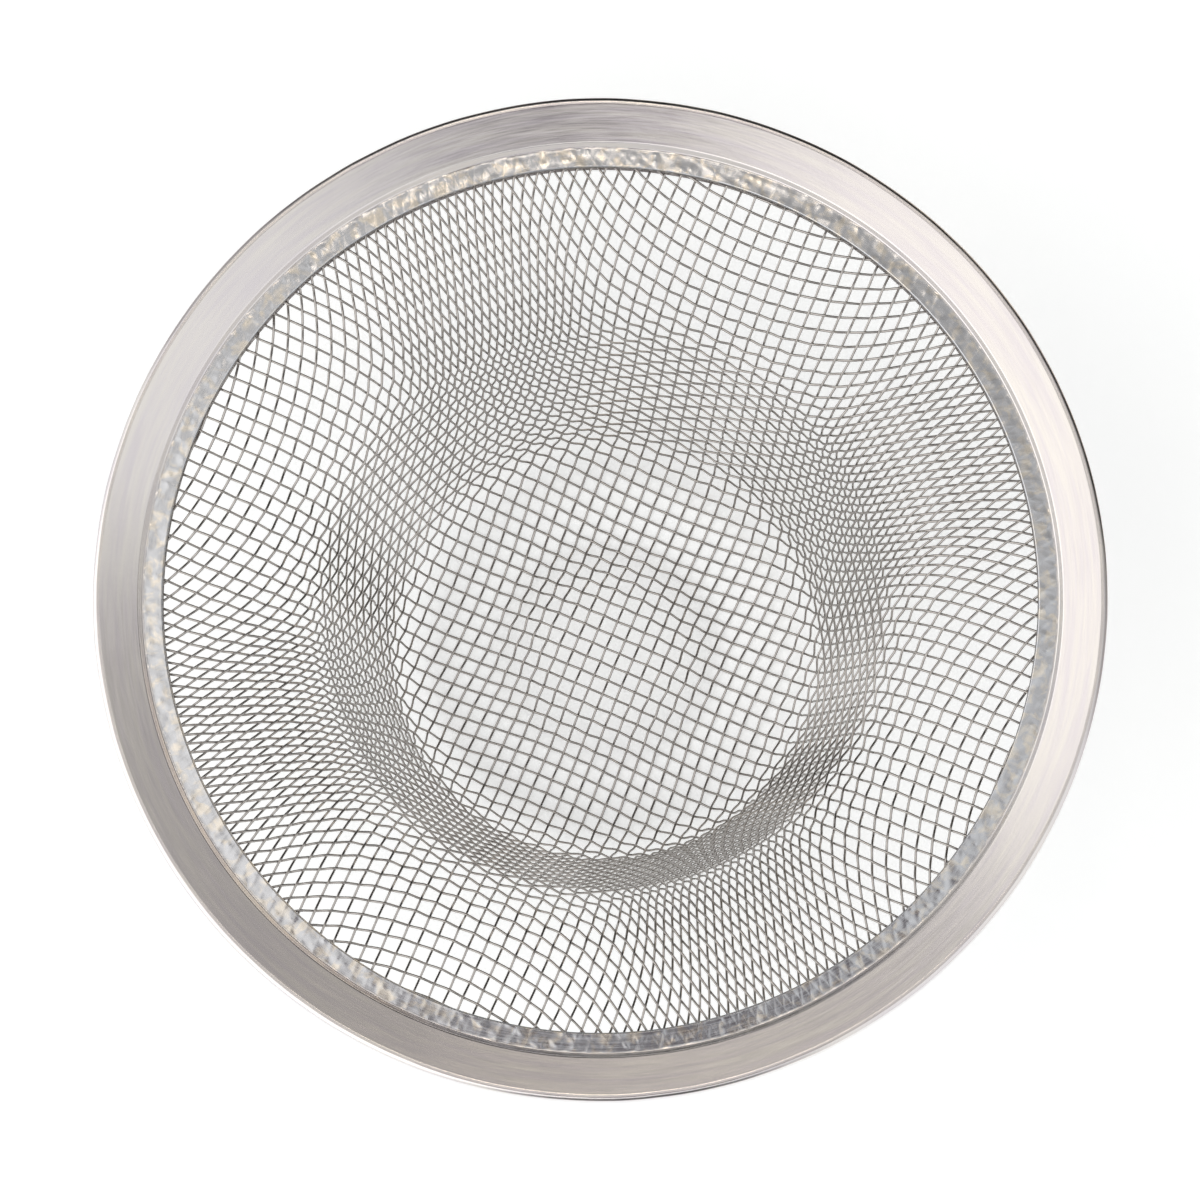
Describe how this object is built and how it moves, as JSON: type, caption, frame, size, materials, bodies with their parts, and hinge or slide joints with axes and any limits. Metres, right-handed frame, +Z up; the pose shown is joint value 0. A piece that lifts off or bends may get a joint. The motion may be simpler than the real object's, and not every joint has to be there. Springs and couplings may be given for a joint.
{
  "type": "shower drain strainer",
  "caption": "Round drain strainer: a cup of woven steel wire with a dished flange, held in a folded flat metal rim.",
  "frame": {"origin": "centre of the cup's floor, on its underside, where the strainer stands", "axes": "+Z up along the ring's axis, from the cup's floor to the rim; +X and +Y across the rim"},
  "size_m": [0.07, 0.07, 0.0277],
  "materials": {
    "rim_steel": "satin pressed sheet",
    "wire_steel": "drawn wire"
  },
  "bodies": {
    "root": {"rim_ring": "rim_steel", "warp_wire_01": "wire_steel", "warp_wire_02": "wire_steel", "warp_wire_03": "wire_steel", "warp_wire_04": "wire_steel", "warp_wire_05": "wire_steel", "warp_wire_06": "wire_steel", "warp_wire_07": "wire_steel", "warp_wire_08": "wire_steel", "warp_wire_09": "wire_steel", "warp_wire_10": "wire_steel", "warp_wire_11": "wire_steel", "warp_wire_12": "wire_steel", "warp_wire_13": "wire_steel", "warp_wire_14": "wire_steel", "warp_wire_15": "wire_steel", "warp_wire_16": "wire_steel", "warp_wire_17": "wire_steel", "warp_wire_18": "wire_steel", "warp_wire_19": "wire_steel", "warp_wire_20": "wire_steel", "warp_wire_21": "wire_steel", "warp_wire_22": "wire_steel", "warp_wire_23": "wire_steel", "warp_wire_24": "wire_steel", "warp_wire_25": "wire_steel", "warp_wire_26": "wire_steel", "warp_wire_27": "wire_steel", "warp_wire_28": "wire_steel", "warp_wire_29": "wire_steel", "weft_wire_01": "wire_steel", "weft_wire_02": "wire_steel", "weft_wire_03": "wire_steel", "weft_wire_04": "wire_steel", "weft_wire_05": "wire_steel", "weft_wire_06": "wire_steel", "weft_wire_07": "wire_steel", "weft_wire_08": "wire_steel", "weft_wire_09": "wire_steel", "weft_wire_10": "wire_steel", "weft_wire_11": "wire_steel", "weft_wire_12": "wire_steel", "weft_wire_13": "wire_steel", "weft_wire_14": "wire_steel", "weft_wire_15": "wire_steel", "weft_wire_16": "wire_steel", "weft_wire_17": "wire_steel", "weft_wire_18": "wire_steel", "weft_wire_19": "wire_steel", "weft_wire_20": "wire_steel", "weft_wire_21": "wire_steel", "weft_wire_22": "wire_steel", "weft_wire_23": "wire_steel", "weft_wire_24": "wire_steel", "weft_wire_25": "wire_steel", "weft_wire_26": "wire_steel", "weft_wire_27": "wire_steel", "weft_wire_28": "wire_steel", "weft_wire_29": "wire_steel"}
  },
  "joints": []
}
